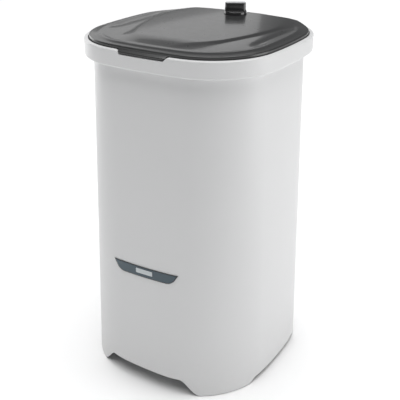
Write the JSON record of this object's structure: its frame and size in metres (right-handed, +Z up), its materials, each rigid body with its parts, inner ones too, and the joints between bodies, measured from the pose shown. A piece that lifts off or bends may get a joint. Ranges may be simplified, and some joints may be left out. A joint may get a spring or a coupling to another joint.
{
  "type": "spin dryer",
  "caption": "Free-standing domestic spin dryer: tapered white cabinet with arched foot, overhanging collar, hinged dark lid with timer knob, and a spinning perforated basket.",
  "frame": {"origin": "on the floor, at the centre of the footprint", "axes": "+Z up, -Y to the front with the badge and the lid's lip, +X to the right seen from the front"},
  "size_m": [0.3944, 0.4214, 0.7164],
  "materials": {
    "white_plastic": "satin moulded polypropylene",
    "lid_plastic": "glossy dark grey moulding",
    "black_plastic": "glossy black moulding",
    "grey_plastic": "satin grey moulding",
    "badge_plastic": "dark petrol blue printed plate",
    "rubber": "matt black rubber",
    "steel": "zinc-plated steel",
    "aluminium": "die-cast aluminium",
    "basket_steel": "rolled stainless steel",
    "copper_wire": "enamelled copper wire"
  },
  "bodies": {
    "cabinet": {"cabinet": "white_plastic", "top_collar": "white_plastic", "base_tray": "grey_plastic", "rubber_foot_front_left": "rubber", "rubber_foot_front_right": "rubber", "rubber_foot_rear_left": "rubber", "rubber_foot_rear_right": "rubber", "badge_plate": "badge_plastic", "badge_label": "grey_plastic", "tub_floor": "white_plastic", "tub_wall": "white_plastic", "drain_hose": "rubber", "drain_spout": "grey_plastic", "cord_inlet": "rubber", "shaft_bellows": "rubber", "capacitor": "grey_plastic", "capacitor_clamp": "steel", "lid_switch_body": "black_plastic", "brake_cable": "black_plastic", "hinge_bracket_left": "steel", "hinge_bracket_right": "steel", "hinge_pin_left": "steel", "hinge_pin_right": "steel", "rubber_mount_1": "rubber", "rubber_mount_2": "rubber", "rubber_mount_3": "rubber"},
    "lid": {"lid_cover": "lid_plastic", "lid_liner": "white_plastic", "lid_seal": "rubber", "timer_cup": "white_plastic", "timer_body": "black_plastic"},
    "timer_knob": {"timer_knob": "black_plastic", "knob_inlay": "grey_plastic", "timer_spindle": "steel"},
    "motor_unit": {"motor_plate": "steel", "mount_nut_1": "steel", "mount_nut_2": "steel", "mount_nut_3": "steel", "motor_bell_lower": "aluminium", "motor_bell_upper": "aluminium", "stator": "steel", "winding_upper": "copper_wire", "winding_lower": "copper_wire", "bearing_lower": "steel", "bearing_upper": "steel", "brake_pivot": "steel"},
    "spinner": {"motor_shaft": "steel", "rotor": "steel", "brake_drum": "steel", "basket_floor": "basket_steel", "basket_wall": "basket_steel", "basket_flange": "basket_steel", "basket_hub": "grey_plastic", "shaft_nut": "steel", "hub_cap": "grey_plastic", "balance_ring": "white_plastic"},
    "brake_lever": {"brake_lever": "steel", "brake_pad": "rubber"},
    "switch_plunger": {"lid_switch_plunger": "grey_plastic"}
  },
  "joints": [
    {"name": "lid_hinge", "type": "hinge", "parent": "cabinet", "child": "lid", "pos_m": [0, 0.1915, 0.6836], "axis": [-1, 0, 0], "range_deg": [0, 95]},
    {"name": "knob_turn", "type": "hinge", "parent": "lid", "child": "timer_knob", "pos_m": [0, 0.1395, 0.7], "axis": [0, 0, -1], "range_deg": [0, 270]},
    {"name": "suspension", "type": "slide", "parent": "cabinet", "child": "motor_unit", "axis": [0, 0, 1], "range_m": [-0.004, 0.003], "stiffness_N_per_m": 20000, "springref_m": 0.007, "deforming": ["rubber_mount_1", "rubber_mount_2", "rubber_mount_3", "shaft_bellows"]},
    {"name": "basket_spin", "type": "hinge", "parent": "motor_unit", "child": "spinner", "pos_m": [0, 0.0055, 0.3], "axis": [0, 0, 1], "continuous": true},
    {"name": "brake_turn", "type": "hinge", "parent": "motor_unit", "child": "brake_lever", "pos_m": [-0.056, -0.0205, 0.228], "axis": [0, 0, -1], "range_deg": [0, 6.5]},
    {"name": "switch_travel", "type": "slide", "parent": "cabinet", "child": "switch_plunger", "axis": [0, 0, 1], "range_m": [0, 0.0045]}
  ],
  "couplings": [
    {"joint": "brake_turn", "follows": "lid_hinge", "ratio": 0.0632},
    {"joint": "switch_travel", "follows": "lid_hinge", "m_per_rad": 0.00241}
  ]
}
